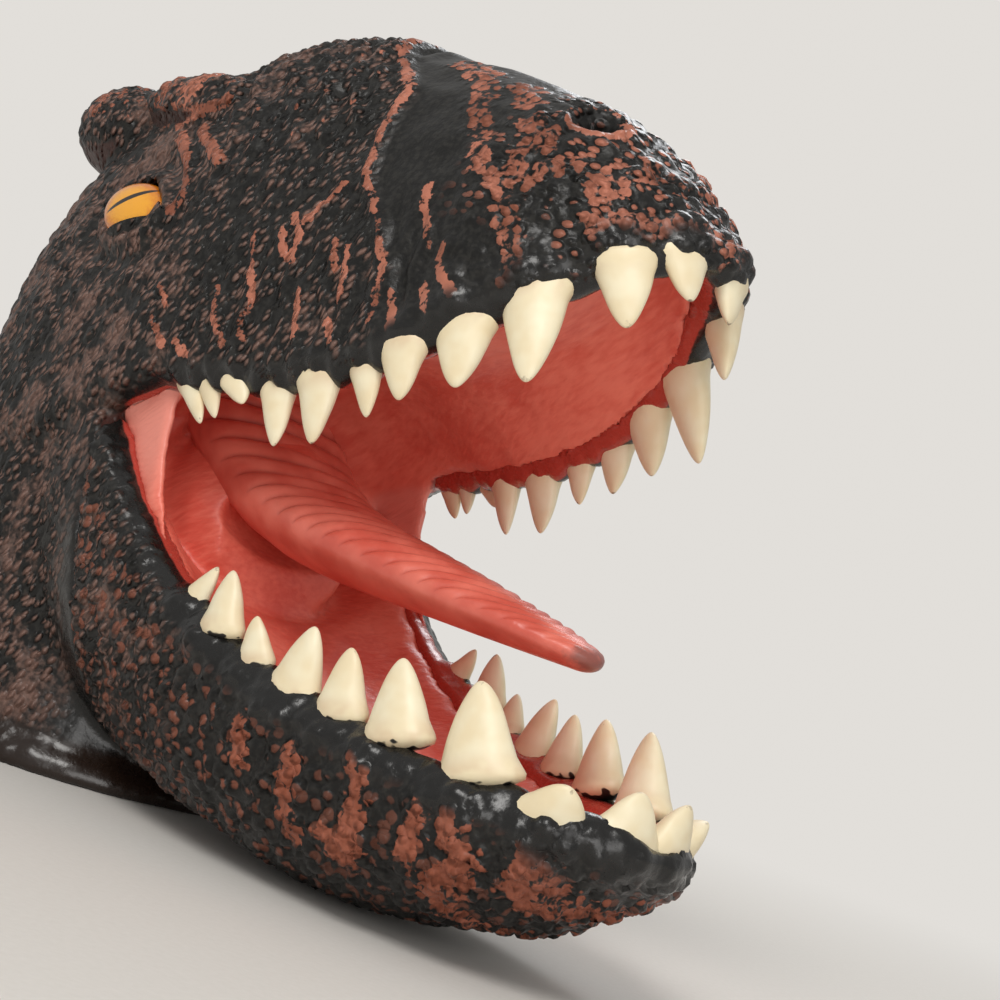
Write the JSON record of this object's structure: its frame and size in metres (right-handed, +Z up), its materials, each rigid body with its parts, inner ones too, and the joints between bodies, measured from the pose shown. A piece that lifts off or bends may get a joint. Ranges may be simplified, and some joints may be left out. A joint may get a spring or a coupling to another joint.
{
  "type": "dinosaur hand puppet",
  "caption": "Dinosaur head hand puppet in soft vinyl: open toothed mouth, lower jaw that the thumb works, ribbed tongue, glass-like eyes and an open neck for the hand.",
  "frame": {"origin": "on the ground, below the middle of the puppet's length and width, with the neck's rim flat on the ground", "axes": "+X towards the snout, +Y the animal's left, +Z up"},
  "size_m": [0.1962, 0.0804, 0.1483],
  "materials": {
    "skin": "soft vinyl painted satin black over red-brown, with raised scales",
    "mouth": "soft vinyl, smooth brick red with a soft sheen",
    "tongue": "soft vinyl, coral red with ribs and a dusky tip",
    "tooth": "ivory paint, satin",
    "eye": "glossy amber with a dark slit"
  },
  "bodies": {
    "head": {"head_skin": "skin", "palate": "mouth", "throat_lining": "mouth", "throat_fold": "skin", "corner_web_right": "mouth", "corner_web_left": "mouth", "eye_right": "eye", "eye_left": "eye", "upper_tooth_right_1": "tooth", "upper_tooth_right_2": "tooth", "upper_tooth_right_3": "tooth", "upper_tooth_right_4": "tooth", "upper_tooth_right_5": "tooth", "upper_tooth_right_6": "tooth", "upper_tooth_right_7": "tooth", "upper_tooth_right_8": "tooth", "upper_tooth_right_9": "tooth", "upper_tooth_right_10": "tooth", "upper_tooth_right_11": "tooth", "upper_tooth_left_1": "tooth", "upper_tooth_left_2": "tooth", "upper_tooth_left_3": "tooth", "upper_tooth_left_4": "tooth", "upper_tooth_left_5": "tooth", "upper_tooth_left_6": "tooth", "upper_tooth_left_7": "tooth", "upper_tooth_left_8": "tooth", "upper_tooth_left_9": "tooth", "upper_tooth_left_10": "tooth", "upper_tooth_left_11": "tooth"},
    "jaw": {"jaw_skin": "skin", "mouth_floor": "mouth", "lower_tooth_right_1": "tooth", "lower_tooth_right_2": "tooth", "lower_tooth_right_3": "tooth", "lower_tooth_right_4": "tooth", "lower_tooth_right_5": "tooth", "lower_tooth_right_6": "tooth", "lower_tooth_right_7": "tooth", "lower_tooth_right_8": "tooth", "lower_tooth_right_9": "tooth", "lower_tooth_left_1": "tooth", "lower_tooth_left_2": "tooth", "lower_tooth_left_3": "tooth", "lower_tooth_left_4": "tooth", "lower_tooth_left_5": "tooth", "lower_tooth_left_6": "tooth", "lower_tooth_left_7": "tooth", "lower_tooth_left_8": "tooth", "lower_tooth_left_9": "tooth"},
    "tongue": {"tongue": "tongue"}
  },
  "joints": [
    {"name": "jaw_hinge", "type": "hinge", "parent": "head", "child": "jaw", "pos_m": [-0.0249, 0, 0.042], "axis": [0, -1, 0], "range_deg": [-8, 27], "stiffness_Nm_per_rad": 2, "deforming": ["throat_fold", "throat_lining", "corner_web_right", "corner_web_left"]},
    {"name": "tongue_hinge", "type": "hinge", "parent": "head", "child": "tongue", "pos_m": [-0.0059, 0, 0.055], "axis": [0, -1, 0], "range_deg": [-5, 15]}
  ],
  "couplings": [
    {"joint": "tongue_hinge", "follows": "jaw_hinge", "ratio": 0.5}
  ]
}
